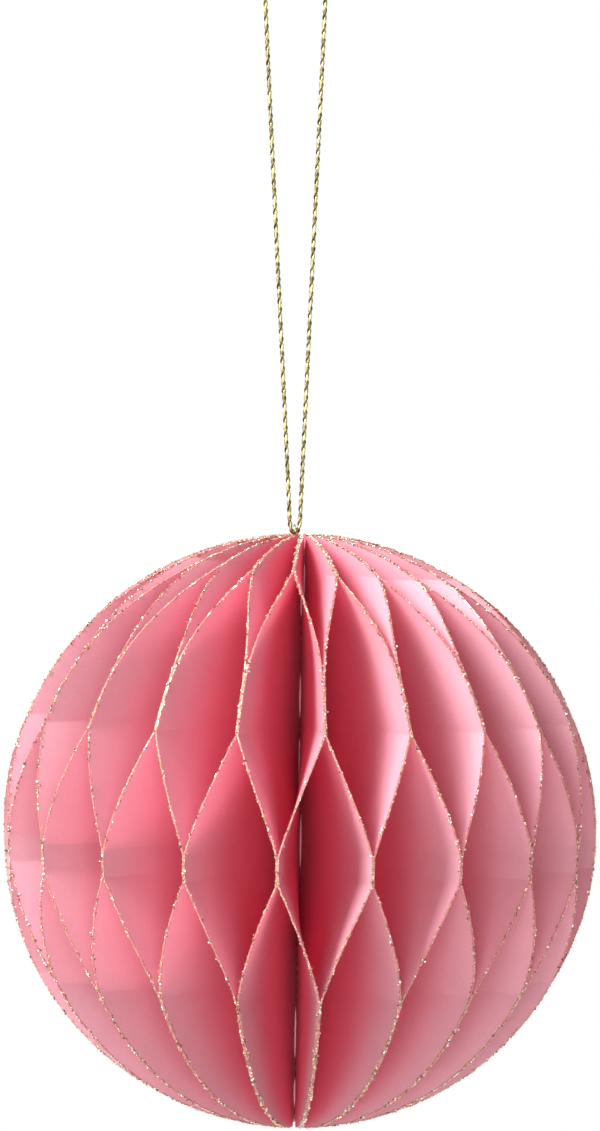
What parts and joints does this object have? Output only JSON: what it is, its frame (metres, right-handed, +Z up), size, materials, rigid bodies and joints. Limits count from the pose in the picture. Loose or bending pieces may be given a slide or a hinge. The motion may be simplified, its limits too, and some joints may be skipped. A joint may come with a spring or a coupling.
{
  "type": "honeycomb paper ball ornament",
  "caption": "Round honeycomb ball of stiff pink paper leaves with glittered gold edges, glued in turn to form long cells, hanging from a twisted gold cord loop.",
  "frame": {"origin": "centre of the paper ball, on its spine", "axes": "+Z up along the spine towards the hanging cord; the side seen first faces -Y, +X to its right"},
  "size_m": [0.0998, 0.0998, 0.1996],
  "materials": {
    "leaf_paper": "matt, gold glitter along the round edge",
    "gold_thread": "metallic yarn",
    "gold_cord": "twisted metallic yarn"
  },
  "bodies": {
    "root": {"leaf_01": "leaf_paper", "leaf_02": "leaf_paper", "leaf_03": "leaf_paper", "leaf_04": "leaf_paper", "leaf_05": "leaf_paper", "leaf_06": "leaf_paper", "leaf_07": "leaf_paper", "leaf_08": "leaf_paper", "leaf_09": "leaf_paper", "leaf_10": "leaf_paper", "leaf_11": "leaf_paper", "leaf_12": "leaf_paper", "leaf_13": "leaf_paper", "leaf_14": "leaf_paper", "leaf_15": "leaf_paper", "leaf_16": "leaf_paper", "leaf_17": "leaf_paper", "leaf_18": "leaf_paper", "leaf_19": "leaf_paper", "leaf_20": "leaf_paper", "leaf_21": "leaf_paper", "leaf_22": "leaf_paper", "leaf_23": "leaf_paper", "leaf_24": "leaf_paper", "leaf_25": "leaf_paper", "leaf_26": "leaf_paper", "leaf_27": "leaf_paper", "leaf_28": "leaf_paper", "leaf_29": "leaf_paper", "leaf_30": "leaf_paper", "leaf_31": "leaf_paper", "leaf_32": "leaf_paper", "leaf_33": "leaf_paper", "leaf_34": "leaf_paper", "leaf_35": "leaf_paper", "leaf_36": "leaf_paper", "leaf_37": "leaf_paper", "leaf_38": "leaf_paper", "leaf_39": "leaf_paper", "leaf_40": "leaf_paper", "spine_thread": "gold_thread", "stop_knot": "gold_thread", "hanging_cord": "gold_cord", "cord_tie": "gold_cord"}
  },
  "joints": []
}
